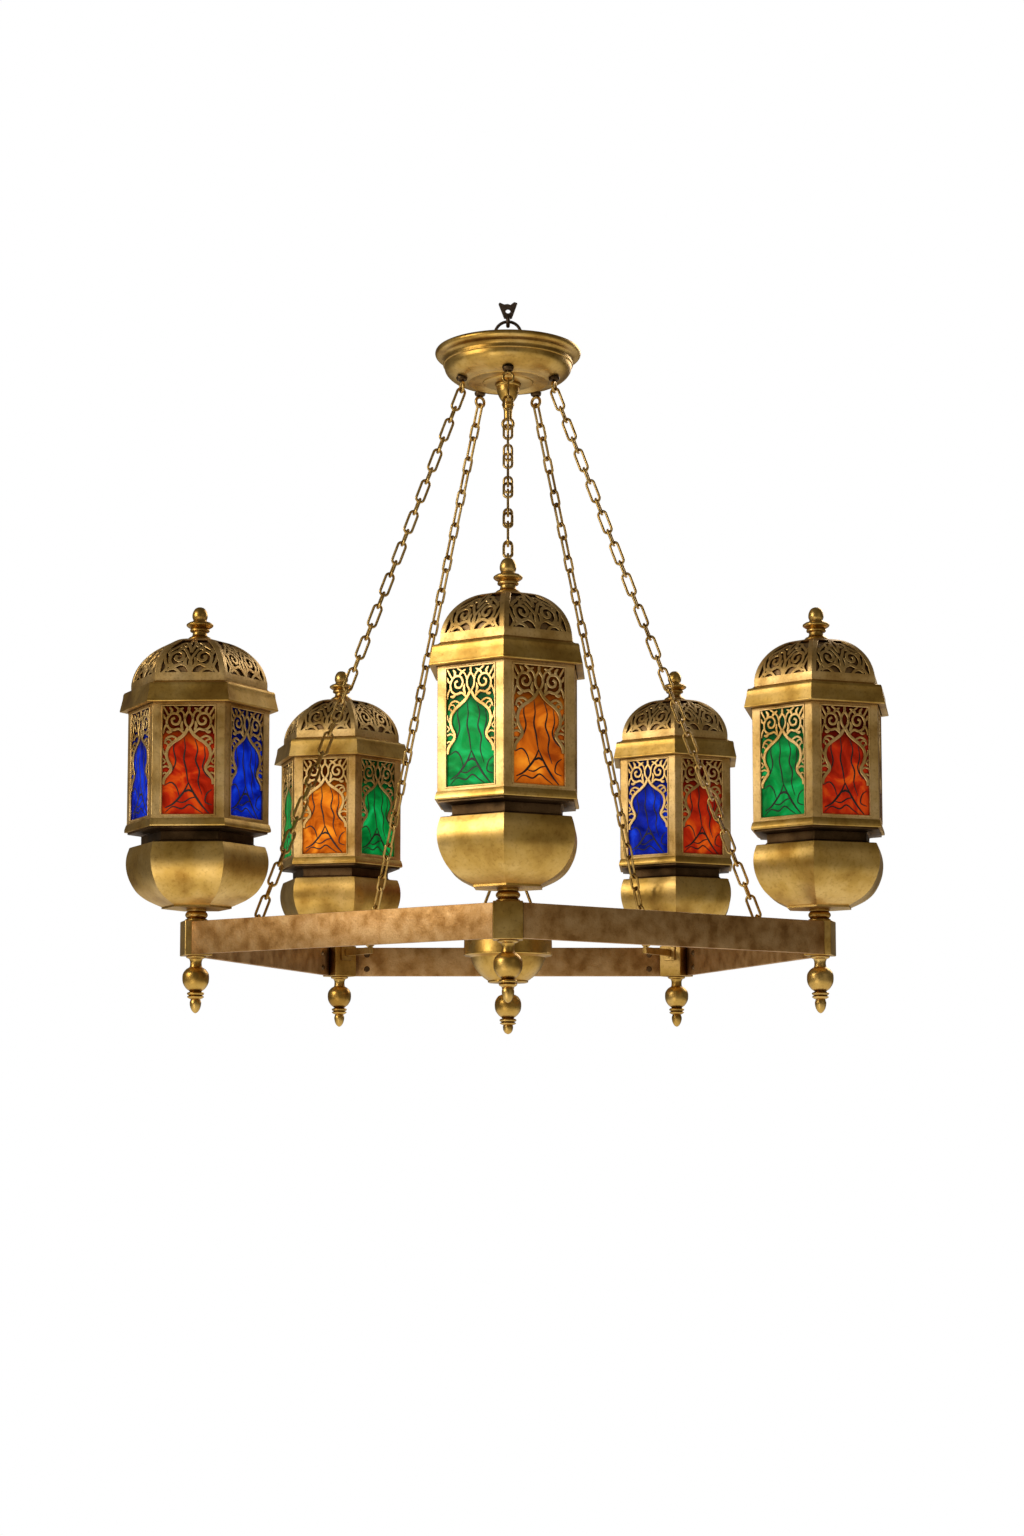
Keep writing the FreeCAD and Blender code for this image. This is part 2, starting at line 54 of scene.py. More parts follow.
def brass(name, bright, middle, dark, rough, bump, metal=1.0, grain=1.0, hollow=0.014):
    """Aged brass: cloudy colour, darkened and browned in the hollows by painted shade, finely pitted, with a
    satin that varies.

    bump is the depth of the pits and hollow the reach of the painted shade, both in metres; grain scales the
    clouds.
    """
    finish = bpy.data.materials.new(name)
    finish.use_nodes = True
    nodes = finish.node_tree.nodes
    links = finish.node_tree.links
    shader = nodes["Principled BSDF"]
    shader.inputs["Metallic"].default_value = metal
    where = nodes.new("ShaderNodeTexCoord")
    which = nodes.new("ShaderNodeObjectInfo")
    shift = nodes.new("ShaderNodeVectorMath")
    shift.operation = "ADD"
    links.new(where.outputs["Object"], shift.inputs[0])
    links.new(which.outputs["Random"], shift.inputs[1])

    def cloud(scale, detail):
        noise = nodes.new("ShaderNodeTexNoise")
        noise.inputs["Scale"].default_value = scale
        noise.inputs["Detail"].default_value = detail
        links.new(shift.outputs[0], noise.inputs["Vector"])
        return noise.outputs["Fac"]

    def ramp(source, stops):
        band = nodes.new("ShaderNodeValToRGB")
        band.color_ramp.elements[0].position, band.color_ramp.elements[0].color = stops[0]
        band.color_ramp.elements[1].position, band.color_ramp.elements[1].color = stops[-1]
        for spot, colour in stops[1:-1]:
            band.color_ramp.elements.new(spot).color = colour
        links.new(source, band.inputs["Fac"])
        return band.outputs["Color"]

    def mixed(mode, amount, first, second):
        mix = nodes.new("ShaderNodeMix")
        mix.data_type = "RGBA"
        mix.blend_type = mode
        mix.inputs[0].default_value = amount
        links.new(first, mix.inputs[6])
        links.new(second, mix.inputs[7])
        return mix.outputs[2]

    tone = ramp(cloud(28 * grain, 5), [(0.32, (*dark, 1)), (0.47, (*middle, 1)), (0.66, (*bright, 1))])
    flecks = ramp(cloud(330 * grain, 3), [(0.3, (0.55, 0.45, 0.34, 1)), (0.48, (1, 1, 1, 1))])
    colour = mixed("MULTIPLY", 0.4, tone, flecks)
    # Painted shade: ambient occlusion darkens and browns the colour in hollows, creases and where parts meet.
    shade = nodes.new("ShaderNodeAmbientOcclusion")
    shade.samples = 4
    shade.inputs["Distance"].default_value = hollow
    occlusion_shade = ramp(shade.outputs["AO"], [(0.25, (0.30, 0.19, 0.09, 1)), (0.8, (1, 1, 1, 1))])
    colour = mixed("MULTIPLY", 1.0, colour, occlusion_shade)
    links.new(colour, shader.inputs["Base Color"])
    satin = nodes.new("ShaderNodeMapRange")
    satin.inputs["To Min"].default_value = rough - 0.09
    satin.inputs["To Max"].default_value = rough + 0.13
    links.new(cloud(60 * grain, 4), satin.inputs["Value"])
    links.new(satin.outputs["Result"], shader.inputs["Roughness"])
    pits = nodes.new("ShaderNodeBump")
    pits.inputs["Strength"].default_value = 0.5
    pits.inputs["Distance"].default_value = bump
    links.new(cloud(190 * grain, 6), pits.inputs["Height"])
    dents = nodes.new("ShaderNodeBump")
    dents.inputs["Strength"].default_value = 0.55
    dents.inputs["Distance"].default_value = 0.003
    links.new(cloud(17, 1), dents.inputs["Height"])
    links.new(pits.outputs["Normal"], dents.inputs["Normal"])
    links.new(dents.outputs["Normal"], shader.inputs["Normal"])
    return finish


def smooth_but_crisp(data, sharp):
    """Shades a mesh smooth, except across edges sharper than the angle in degrees."""
    data.polygons.foreach_set("use_smooth", [True] * len(data.polygons))
    data.set_sharp_from_angle(angle=math.radians(sharp))


def closed_mesh(name, points, faces, sharp=38):
    """Mesh in metres from points in millimetres; edges sharper than the angle stay crisp."""
    data = bpy.data.meshes.new(name)
    data.from_pydata([(x * MM, y * MM, h * MM) for x, y, h in points], [], faces)
    work = bmesh.new()
    work.from_mesh(data)
    bmesh.ops.remove_doubles(work, verts=work.verts, dist=WELD)
    bmesh.ops.recalc_face_normals(work, faces=work.faces)
    work.to_mesh(data)
    work.free()
    smooth_but_crisp(data, sharp)
    return data


def set_in_place(name, data, spot, turn, body, finish, slot, *stands_for):
    """Hangs a piece on its CAD body; spot is its axis in plan, in metres, and turn its angle in degrees."""
    piece = bpy.data.objects.new(name, data)
    bpy.context.scene.collection.objects.link(piece)
    piece.location = (spot[0], spot[1], FOOT)
    piece.rotation_euler = (0, 0, math.radians(turn))
    if not data.materials:
        data.materials.append(finish)
    bpy.context.view_layer.update()
    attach(piece, body)
    if stands_for:
        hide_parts(*stands_for)
    return piece


def flowing(points, steps=6):
    """A smooth line through the points, by Catmull-Rom spans."""
    ends = [points[0]] + list(points) + [points[-1]]
    line = []
    for a, b, c, d in zip(ends, ends[1:], ends[2:], ends[3:]):
        for k in range(steps):
            t = k / steps
            line.append(tuple(
                0.5 * (2 * q + (r - p) * t + (2 * p - 5 * q + 4 * r - s) * t * t
                       + (3 * q - p - 3 * r + s) * t ** 3)
                for p, q, r, s in zip(a, b, c, d)))
    line.append(tuple(points[-1]))
    return line


def joined(stretches, steps=6):
    """One outline from stretches: those of more than two points flow, and doubled points are left out."""
    near = 0.01
    outline = []
    for stretch in stretches:
        outline += flowing(stretch, steps) if len(stretch) > 2 else list(stretch)
    return [p for k, p in enumerate(outline) if k == 0 or math.dist(p, outline[k - 1]) > near]


def lathe(name, stretches, sides=56):
    """Turned solid: each stretch of (radius, height) points is smooth, and stretches meet at crisp edges."""
    least = 0.01                           # in place of no radius, so that every ring keeps its points
    outline = joined(stretches)
    points = []
    faces = []
    for r, h in outline:
        for k in range(sides):
            a = 2 * math.pi * k / sides
            points.append((max(r, least) * math.sin(a), -max(r, least) * math.cos(a), h))
    for row in range(len(outline) - 1):
        for k in range(sides):
            a, b = row * sides + k, row * sides + (k + 1) % sides
            faces.append((a, b, b + sides, a + sides))
    faces.append(tuple(range(sides)))
    faces.append(tuple(range(len(points) - sides, len(points))))
    return closed_mesh(name, points, faces)


satin_brass = brass("satin_brass", (0.76, 0.505, 0.165), (0.60, 0.365, 0.085), (0.40, 0.215, 0.04),
                    0.35, 0.00022)
canopy = lathe("canopy", [
    [(4, 600.6), (24.5, 600.6)], [(24.5, 600.6), (25.8, 601), (26.5, 602.2)], [(26.5, 602.2), (40, 602)],
    [(40, 602), (41.2, 601.6), (42.4, 602.2)],
    [(42.4, 602.2), (50, 603.4), (57, 606.2), (62.4, 610.4), (65.4, 615), (66.2, 619.6)],
    [(66.2, 619.6), (67.4, 620.2), (67.4, 621.6)], [(67.4, 621.6), (65.4, 622.2)],
    [(65.4, 622.2), (65.8, 625), (68, 627.4), (71.6, 628.4)],
    [(71.6, 628.4), (74.2, 629.4), (75.6, 632), (74.8, 634.8), (72, 636)],
    [(72, 636), (69.6, 635), (68, 630), (63.4, 622), (61, 616), (55, 609.4), (46, 605.6), (38, 604.6)],
    [(38, 604.6), (4, 604.6)],
], 96)
set_in_place("canopy_bowl", canopy, AXIS, 0, "fixture", satin_brass, "aged_brass", "canopy")

# --- Canopy boss ----------------------------------------------------------------------------------------
# A turned inverted bell screwed up under the canopy; it draws out into a slim stem with a ring at its end,
# which carries the centre chain.
boss = lathe("boss", [
    [(3, 601), (13, 601)], [(13, 601), (13.3, 599.6), (13, 598.2)], [(13, 598.2), (12, 597.4)],
    [(12, 597.4), (11.3, 592), (8.8, 586), (6.4, 582.5), (5.6, 580.5)],
    [(5.6, 580.5), (6.4, 579.6), (6.4, 577.8)], [(6.4, 577.8), (5.2, 576.8)],
    [(5.2, 576.8), (4.4, 571), (4.2, 563.8)], [(4.2, 563.8), (0, 563.2)],
])


def wire_ring(name, radius, wire, height):
    """Upright ring that faces front and back; wire is the wire's own radius."""
    points = []
    faces = []
    around, across = 40, 12                # facets round the ring and round its wire
    for k in range(around):
        a = 2 * math.pi * k / around
        for j in range(across):
            b = 2 * math.pi * j / across
            flat = (radius + wire * math.cos(b)) * math.cos(a)
            rise = (radius + wire * math.cos(b)) * math.sin(a)
            points.append((flat, wire * math.sin(b), height + rise))
            faces.append((
                k * across + j, (k + 1) % around * across + j,
                (k + 1) % around * across + (j + 1) % across, k * across + (j + 1) % across))
    return closed_mesh(name, points, faces, 60)


set_in_place("boss_bell", boss, AXIS, 0, "fixture", satin_brass, "aged_brass", "canopy_boss")
set_in_place("boss_ring", wire_ring("boss_ring", 5.4, 1.7, 558.4), AXIS, 0, "fixture",
             satin_brass, "aged_brass")

# --- Hanger, ring and loop ------------------------------------------------------------------------------
# Forged iron lug with a fishtail blade, waxed nearly black, a wire ring through its eye and, on the canopy's
# stem, a closed loop. They keep their solid shapes.
forged_iron = brass("forged_iron", (0.16, 0.115, 0.085), (0.085, 0.058, 0.042), (0.035, 0.023, 0.017), 0.46,
                    0.0012, 0.85, 1.6)


def refinish(finish, *names):
    """New finish for nodes that keep their solid shapes."""
    for name in names:
        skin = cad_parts[name].data.materials
        skin.clear()
        skin.append(finish)


refinish(forged_iron, "hanger", "hanger_ring", "canopy_loop")

# --- Chains ---------------------------------------------------------------------------------------------
# Brass wire chain, long and short oval links by turns, darkened and browned by painted shade where the links
# bear on each other. The eyes, lugs and bail are of the same wire and bar.
chain_brass = brass("chain_brass", (0.74, 0.50, 0.18), (0.60, 0.38, 0.11), (0.34, 0.19, 0.045), 0.34, 0.0005,
                    1.0, 1.5, 0.006)
refinish(chain_brass, "chain_1", "chain_2", "chain_3", "chain_4", "chain_5", "centre_chain",
         "canopy_eyes", "chain_lugs", "centre_bail")

# Cupped washers where the eyes enter the canopy, dark with painted shade that stands in for the shade in the
# holes.
EYE_RADIUS = 50.0
COMPASS = [0.0, -72.0, 72.0, -144.0, 144.0]    # corners: front, left, right, back left, back right
dark_brass = brass("dark_brass", (0.24, 0.15, 0.07), (0.13, 0.078, 0.035), (0.05, 0.03, 0.014), 0.42, 0.0006)
hole_shade_washer = lathe("eye_washer", [
    [(1.9, 599.6), (3.6, 599.4)], [(3.6, 599.4), (5.2, 600.4), (6.0, 603.2)], [(6.0, 603.2), (1.9, 603.2)],
], 28)
for i, angle in enumerate(COMPASS):
    spot = (EYE_RADIUS * MM * math.sin(math.radians(angle)), -EYE_RADIUS * MM * math.cos(math.radians(angle)))
    set_in_place("eye_washer_%d" % (i + 1), hole_shade_washer, spot, angle, "fixture", dark_brass, "dark_brass")

# --- Rails and corner blocks ----------------------------------------------------------------------------
# Flat brass bars, 32 by 6 mm, with a mottled brown patina, screwed to cast cube blocks whose faces are
# polished. The bars lie on the outer side of the line between the lanterns.
rail_patina = brass("rail_patina", (0.60, 0.365, 0.155), (0.47, 0.255, 0.085), (0.31, 0.145, 0.034),
                    0.46, 0.0005, 0.8, 2.4)
RAIL_EASE = 0.7
LONG_EDGE = 20.0                           # shorter edges, as round the screw holes, are left as they are
CORNER_ANGLE = 0.6                         # radians; only real corners wear


def eased_rail(node):
    """The solid rail with its long edges and ends worn round."""
    work = bmesh.new()
    work.from_mesh(node.data)
    bmesh.ops.remove_doubles(work, verts=work.verts, dist=WELD)
    worn = [e for e in work.edges if len(e.link_faces) == 2
            and e.calc_length() > LONG_EDGE * MM and e.calc_face_angle() > CORNER_ANGLE]
    bmesh.ops.bevel(work, geom=worn, offset=RAIL_EASE * MM, segments=2, profile=0.6, affect="EDGES")
    data = bpy.data.meshes.new(node.name + "_worn")
    work.to_mesh(data)
    work.free()
    smooth_but_crisp(data, 40)
    data.materials.append(rail_patina)
    return data


for i in range(1, 6):
    bar = bpy.data.objects.new("rail_bar_%d" % i, eased_rail(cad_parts["rail_%d" % i]))
    bpy.context.scene.collection.objects.link(bar)
    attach(bar, "fixture")
    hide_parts("rail_%d" % i)
refinish(dark_brass, "rail_screws")

BLOCK = 27.0
BLOCK_TALL = 34.0
BLOCK_EASE = 1.3


def block_mesh():
    """Cube block with worn, rounded edges."""
    half = BLOCK / 2
    plan = ((-half, -half), (half, -half), (half, half), (-half, half))
    points = [(x, y, h) for h in (0, BLOCK_TALL) for x, y in plan]
    faces = [(0, 1, 2, 3), (4, 5, 6, 7), (0, 1, 5, 4), (1, 2, 6, 5), (2, 3, 7, 6), (3, 0, 4, 7)]
    data = closed_mesh("corner_block", points, faces, 30)
    work = bmesh.new()
    work.from_mesh(data)
    bmesh.ops.bevel(work, geom=list(work.edges), offset=BLOCK_EASE * MM, segments=3, profile=0.7,
                    affect="EDGES")
    work.to_mesh(data)
    work.free()
    smooth_but_crisp(data, 40)
    return data


def lantern_axis(i):
    """Where lantern i stands in plan, in metres."""
    low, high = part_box("lantern_bowl_%d" % (i + 1))
    return ((low.x + high.x) / 2, (low.y + high.y) / 2)


block = block_mesh()
for i, angle in enumerate(COMPASS):
    set_in_place("corner_block_%d" % (i + 1), block, lantern_axis(i), angle, "fixture",
                               satin_brass, "aged_brass")
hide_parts("corner_blocks")

# --- Drop finials and stems -----------------------------------------------------------------------------
# Turned brass pendants screwed to the tube under each block, and a short beaded spacer above it.
drop = lathe("drop_finial", [
    [(0, 0), (9.3, 0)], [(9.3, 0), (9.6, -1), (9.0, -2)], [(9.0, -2), (6.6, -3)],
    [(6.6, -3), (5.7, -5.5), (5.7, -9), (6.2, -11)],
    [(6.2, -11), (9.6, -13.2), (12.4, -17.2), (13, -22), (12.2, -27), (9.4, -31.6), (6.4, -34)],
    [(6.4, -34), (5.6, -35)], [(5.6, -35), (7.6, -35.6), (8.4, -36.8), (7.6, -38)],
    [(7.6, -38), (6.4, -38.6)], [(6.4, -38.6), (8.2, -39.8), (7.0, -41.2)], [(7.0, -41.2), (4.6, -42.4)],
    [(4.6, -42.4), (5.6, -46), (4.6, -51), (2.4, -54.6), (0, -56)],
])
stem = lathe("stem", [
    [(5.1, 34), (10.8, 34)], [(10.8, 34), (10.8, 35.6)], [(10.8, 35.6), (9, 36.6)],
    [(9, 36.6), (10.4, 38.2), (11, 40), (10.4, 41.8), (9, 43.4)], [(9, 43.4), (9.8, 44), (9.8, 46)],
    [(9.8, 46), (5.1, 46)],
])
for i, angle in enumerate(COMPASS):
    set_in_place("drop_finial_%d" % (i + 1), drop, lantern_axis(i), angle, "fixture",
                              satin_brass, "aged_brass")
    set_in_place("stem_%d" % (i + 1), stem, lantern_axis(i), angle, "fixture",
                              satin_brass, "aged_brass")
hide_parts("drop_finials")
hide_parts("stems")

# --- Lantern bowls and necks ----------------------------------------------------------------------------
# Each bowl is six curved sheets of brass soldered along their corners, on a flat foot. The neck above it is
# a recessed dark gallery that carries the case.
TURNS = [-3.0, 28.0, -11.0, 17.0, -4.0]    # degrees that each lantern is turned on its stem
BOWL_LINE = [(34.5, 47.8), (42, 51), (50, 55), (58, 61), (64, 69), (68.5, 79), (70.3, 89), (69.6, 98),
             (67, 106)]
CREASE_R = 66.0                            # radius at which a crease has its stated width to each side
CLOSED_GAP = 6.0                           # an outline that ends this near its start is a closed loop


def on_lantern(kind, i, data, body, finish, slot, *stands_for):
    """Sets lantern i's own piece of a kind on its axis, turned as the lantern is."""
    return set_in_place("%s_%d" % (kind, i + 1), data, lantern_axis(i), TURNS[i], body, finish, slot,
                        *stands_for)


def six_sided(name, stretches, inside=(), sharp=24, crease=0.7):
    """Six-sided solid from (corner radius, height) stretches, with its corners blunted by a crease.

    inside is the inner skin, from top to bottom.
    """
    outline = joined([*stretches, *inside], 3)
    spread = crease / CREASE_R
    around = 18                            # points round: three at each corner
    points = []
    faces = []
    for r, h in outline:
        for k in range(6):
            for side in (-spread, 0, spread):
                a = math.radians(60 * k) + side
                flat = r * math.cos(math.radians(30)) / math.cos(math.radians(30) - abs(side))
                reach = flat if side else (r + flat) / 2
                points.append((reach * math.sin(a), -reach * math.cos(a), h))
    for row in range(len(outline) - 1):
        for k in range(around):
            a, b = row * around + k, row * around + (k + 1) % around
            faces.append((a, b, b + around, a + around))
    if inside and math.dist(outline[0], outline[-1]) < CLOSED_GAP:
        last = (len(outline) - 1) * around
        for k in range(around):
            faces.append((last + k, last + (k + 1) % around, (k + 1) % around, k))
    else:
        faces.append(tuple(range(around)))
        faces.append(tuple(range(len(points) - around, len(points))))
    return closed_mesh(name, points, faces, sharp)


bowl = six_sided("lantern_bowl", [
    [(6, 46), (34.5, 46)], [(34.5, 46), (34.5, 47.8)], BOWL_LINE, [(67, 106), (65.8, 106.6)],
], [[(65.8, 106.6), (60, 106.6)], [(60, 106.6), (60, 104)], [(60, 104), (6, 100)]], 20)
neck = six_sided("neck", [
    [(57, 106), (57, 108)], [(57, 108), (55.5, 109)], [(55.5, 109), (55.5, 117)], [(55.5, 117), (57.5, 118)],
    [(57.5, 118), (69, 119)], [(69, 119), (69, 121)],
])
for i in range(5):
    on_lantern("bowl", i, bowl, "fixture", satin_brass, "aged_brass", "lantern_bowl_%d" % (i + 1))
    on_lantern("neck", i, neck, "fixture", dark_brass, "dark_brass")
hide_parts("necks")

# --- Lantern cases --------------------------------------------------------------------------------------
# Six flat faces of pierced sheet brass in a folded frame: a keyhole arch with arabesque scrolls above it,
# sawn out by hand, over a flared base lip. The pierced sheet is paler and duller than the frame.
CASE_R = 70.0
APOTHEM = CASE_R * math.cos(math.radians(30))
HALF_FACE = CASE_R / 2
WINDOW = 25.0                              # half of the window's width
CASE_FOOT, SILL, HEAD, CASE_TOP = 121.6, 132.0, 237.0, 249.0
SCROLL_SWELL = 1.2                         # how much wider than drawn the scrolls are cut
pierced_brass = brass("pierced_brass", (0.90, 0.63, 0.28), (0.76, 0.50, 0.185), (0.52, 0.305, 0.085),
                      0.42, 0.0004, 1.0, 1.2, 0.005)


def flat_face(k):
    """Side k of the case: across and up in its plane, out along its normal."""
    a = math.radians(30 + 60 * k)

    def spot(across, up, out):
        reach = APOTHEM + out
        return (reach * math.sin(a) + across * math.cos(a), -reach * math.cos(a) + across * math.sin(a), up)

    return spot


def strip(points, faces, path, width, spot, top, bottom, taper=False):
    """Adds a flat band along a path of (across, up), with softened upper edges; a tapered band is a leaf."""
    ease = min(0.35, width / 5)
    first = len(points)
    for k, (u, v) in enumerate(path):
        before, after = path[max(k - 1, 0)], path[min(k + 1, len(path) - 1)]
        du, dv = after[0] - before[0], after[1] - before[1]
        size = math.hypot(du, dv) or 1.0
        nu, nv = -dv / size, du / size
        half = width / 2
        if taper:                          # narrow at both ends
            half *= 0.25 + 0.75 * math.sin(math.pi * (0.08 + 0.84 * k / (len(path) - 1)))
        for across, lift in ((-half, bottom), (-half, top - ease), (ease - half, top), (half - ease, top),
                             (half, top - ease), (half, bottom)):
            points.append(spot(u + nu * across, v + nv * across, lift))
    for k in range(len(path) - 1):
        for j in range(6):
            a, b = first + k * 6 + j, first + k * 6 + (j + 1) % 6
            faces.append((a, b, b + 6, a + 6))
    faces.append(tuple(range(first, first + 6)))
    faces.append(tuple(range(len(points) - 6, len(points))))


def curl(centre, start_radius, end_radius, start, sweep, count=20):
    """A spiral of (across, up) points; angles in degrees, anticlockwise from the right."""
    line = []
    for k in range(count + 1):
        t = k / count
        a = math.radians(start + sweep * t)
        r = start_radius + (end_radius - start_radius) * t
        line.append((centre[0] + r * math.cos(a), centre[1] + r * math.sin(a)))
    return line


# right-hand half of the arch and scrolls, as (across, up); the left half mirrors it
ARCH = flowing([(24.2, 161), (23.4, 166), (20.4, 170.4), (17.2, 174.2), (17.0, 178.4), (20.0, 184),
                (21.3, 190), (19.6, 196.6), (14.8, 201.6), (9.4, 205.2), (4.4, 209.4), (0.6, 215.5)], 5)
# each as its line, its width and whether it is a leaf
SCROLLS = [
    (flowing([(0.6, 215.5), (3.6, 221), (3.4, 227), (0, 232.5), (0, 237)]), 1.9, False),
    (flowing([(4.0, 210.0), (9.5, 214.5), (15.5, 213.6), (20.2, 217), (21.2, 223.5), (17.4, 229.2),
              (11.4, 229.2), (8.3, 224.4), (10.6, 219.6), (15.2, 219.8), (16.4, 223.6), (13.6, 225.4)], 5),
     2.0, False),
    (flowing([(10.4, 204.5), (16.0, 207.6), (21.2, 205.6), (23.0, 200.2)], 5), 1.7, False),
    (curl((19.4, 201.0), 3.9, 1.4, 40, 330, 16), 1.4, False),
    (flowing([(3.6, 224), (5.6, 230.5), (9.4, 233.4), (13.8, 236.8)], 5), 1.7, False),
    (flowing([(20.6, 219.5), (23.4, 216), (24.9, 210)], 5), 1.7, False),
    (flowing([(19.4, 227.4), (22.0, 231.6), (24.9, 236.4)], 5), 1.7, False),
    (flowing([(21.2, 188), (23.6, 191), (24.9, 195.5)], 4), 1.5, False),
    (flowing([(17.0, 176.4), (21.0, 178.6), (24.9, 177.6)], 4), 1.6, False),
    (flowing([(19.8, 171), (22.6, 172.2), (24.9, 171)], 4), 1.5, False),
    (flowing([(5.2, 213), (7.0, 217.4), (6.2, 222.2)], 4), 2.4, True),
    (flowing([(15.4, 213.8), (18.6, 211.6), (21.4, 212.2)], 4), 2.5, True),
    (flowing([(11.6, 229.4), (10.0, 232.4), (5.4, 235.0)], 4), 2.3, True),
    (flowing([(17.6, 229.4), (16.4, 232.6), (18.8, 235.6)], 4), 2.4, True),
    (flowing([(21.2, 224), (23.6, 225.6), (24.6, 229)], 4), 2.2, True),
    (flowing([(24.9, 186), (22.4, 183.4), (24.6, 181)], 4), 1.4, False),
]


def pierced_case():
    """Stiles, sill, head, window beads, arch and scrolls of all six faces, as one mesh."""
    points = []
    faces = []

    def cut(face, path, width, top, bottom, leaf=False):
        strip(points, faces, path, width, face, top, bottom, leaf)

    stile = (HALF_FACE + WINDOW) / 2
    bead = WINDOW + 0.9
    for k in range(6):
        face = flat_face(k)
        for side in (-1, 1):
            cut(face, [(side * stile, CASE_FOOT), (side * stile, CASE_TOP)], HALF_FACE - WINDOW, 0.0, -1.4)
            cut(face, [(side * bead, SILL), (side * bead, HEAD)], 1.5, 0.65, -1.3)
            cut(face, [(side * u, v) for u, v in ARCH], 3.1, -0.1, -1.5)
            for path, width, leaf in SCROLLS:
                cut(face, [(side * u, v) for u, v in path], width * SCROLL_SWELL, -0.25, -1.45, leaf)
        for low, high in ((CASE_FOOT, SILL), (HEAD, CASE_TOP)):
            middle = (low + high) / 2
            cut(face, [(-HALF_FACE, middle), (HALF_FACE, middle)], high - low, -0.02, -1.42)
        for level in (SILL - 0.6, HEAD + 0.6):
            cut(face, [(-WINDOW - 1.6, level), (WINDOW + 1.6, level)], 1.5, 0.65, -1.3)
    return closed_mesh("pierced_case", points, faces, 40)


case = pierced_case()
lip = six_sided("case_lip", [
    [(68, 121), (72, 121)], [(72, 121), (72.4, 122), (72.2, 124)],
    [(72.2, 124), (71.4, 126.5), (70.6, 128.4)], [(70.6, 128.4), (69, 128.6)],
], [[(69, 128.6), (68, 121.1)]], 30)
for i in range(5):
    on_lantern("case", i, case, "fixture", pierced_brass, "fretwork_brass", "lantern_case_%d" % (i + 1))
    on_lantern("case_lip", i, lip, "fixture", satin_brass, "aged_brass")

# --- Panes ----------------------------------------------------------------------------------------------
# Rolled stained glass, 3 mm, blue, red, green and amber, cloudy, with a painted glow that stands in for light
# through it, and dark enamel lines painted on it: an upturned Y with leaf curves round it.
GLASS = {                                  # main, deepest and lightest colour
    "glass_blue": ((0.002, 0.012, 0.30), (0.001, 0.003, 0.09), (0.006, 0.045, 0.60)),
    "glass_red": ((0.30, 0.014, 0.003), (0.11, 0.003, 0.001), (0.52, 0.075, 0.005)),
    "glass_green": ((0.002, 0.21, 0.036), (0.001, 0.07, 0.012), (0.006, 0.37, 0.09)),
    "glass_amber": ((0.47, 0.10, 0.005), (0.20, 0.030, 0.002), (0.78, 0.25, 0.015)),
}
FRET_FOOT, FRET_HEAD = 0.196, 0.214        # metres; the scrolls' shade on the glass comes on between these
FRET_SHADE = 0.12                          # share of the light that is left behind the scrolls
PANE_FRONT = -1.6                          # the glass's face, from the case's


def stained_glass(name, body, deep, light):
    """Cloudy glass with a painted glow that stands in for light through it, and painted shade behind the
    scrolls and in its corners.
    """
    finish = bpy.data.materials.new(name)
    finish.use_nodes = True
    nodes = finish.node_tree.nodes
    links = finish.node_tree.links
    shader = nodes["Principled BSDF"]
    where = nodes.new("ShaderNodeTexCoord")
    swirl = nodes.new("ShaderNodeTexNoise")
    swirl.inputs["Scale"].default_value = 34
    swirl.inputs["Detail"].default_value = 5
    swirl.inputs["Distortion"].default_value = 1.6
    links.new(where.outputs["Object"], swirl.inputs["Vector"])
    cloud = nodes.new("ShaderNodeValToRGB")
    cloud.color_ramp.elements[0].position = 0.30
    cloud.color_ramp.elements[0].color = (*deep, 1)
    cloud.color_ramp.elements[1].position = 0.72
    cloud.color_ramp.elements[1].color = (*light, 1)
    cloud.color_ramp.elements.new(0.5).color = (*body, 1)
    links.new(swirl.outputs["Fac"], cloud.inputs["Fac"])
    # Painted shade: the glass darkens upwards behind the scrolls, and in its corners by ambient occlusion.
    height = nodes.new("ShaderNodeSeparateXYZ")
    links.new(where.outputs["Object"], height.inputs[0])
    shade = nodes.new("ShaderNodeMapRange")
    shade.inputs["From Min"].default_value = FOOT + FRET_FOOT
    shade.inputs["From Max"].default_value = FOOT + FRET_HEAD
    shade.inputs["To Min"].default_value = 1.0
    shade.inputs["To Max"].default_value = FRET_SHADE
    links.new(height.outputs["Z"], shade.inputs["Value"])
    corner = nodes.new("ShaderNodeAmbientOcclusion")
    corner.samples = 4
    corner.inputs["Distance"].default_value = 0.012
    both = nodes.new("ShaderNodeMath")
    both.operation = "MULTIPLY"
    links.new(shade.outputs["Result"], both.inputs[0])
    links.new(corner.outputs["AO"], both.inputs[1])
    lit = nodes.new("ShaderNodeVectorMath")
    lit.operation = "SCALE"
    links.new(cloud.outputs["Color"], lit.inputs[0])
    links.new(both.outputs[0], lit.inputs["Scale"])
    links.new(lit.outputs[0], shader.inputs["Base Color"])
    # Painted glow: the glass gives off its own shaded colour, standing in for light coming through it.
    links.new(lit.outputs[0], shader.inputs["Emission Color"])
    shader.inputs["Emission Strength"].default_value = 0.85
    shader.inputs["Roughness"].default_value = 0.22
    shader.inputs["Specular IOR Level"].default_value = 0.03
    ripple = nodes.new("ShaderNodeTexNoise")
    ripple.inputs["Scale"].default_value = 90
    links.new(where.outputs["Object"], ripple.inputs["Vector"])
    bump = nodes.new("ShaderNodeBump")
    bump.inputs["Strength"].default_value = 0.6
    bump.inputs["Distance"].default_value = 0.0012
    links.new(ripple.outputs["Fac"], bump.inputs["Height"])
    links.new(bump.outputs["Normal"], shader.inputs["Normal"])
    return finish


for node, (body, deep, light) in GLASS.items():
    refinish(stained_glass(node, body, deep, light), node)

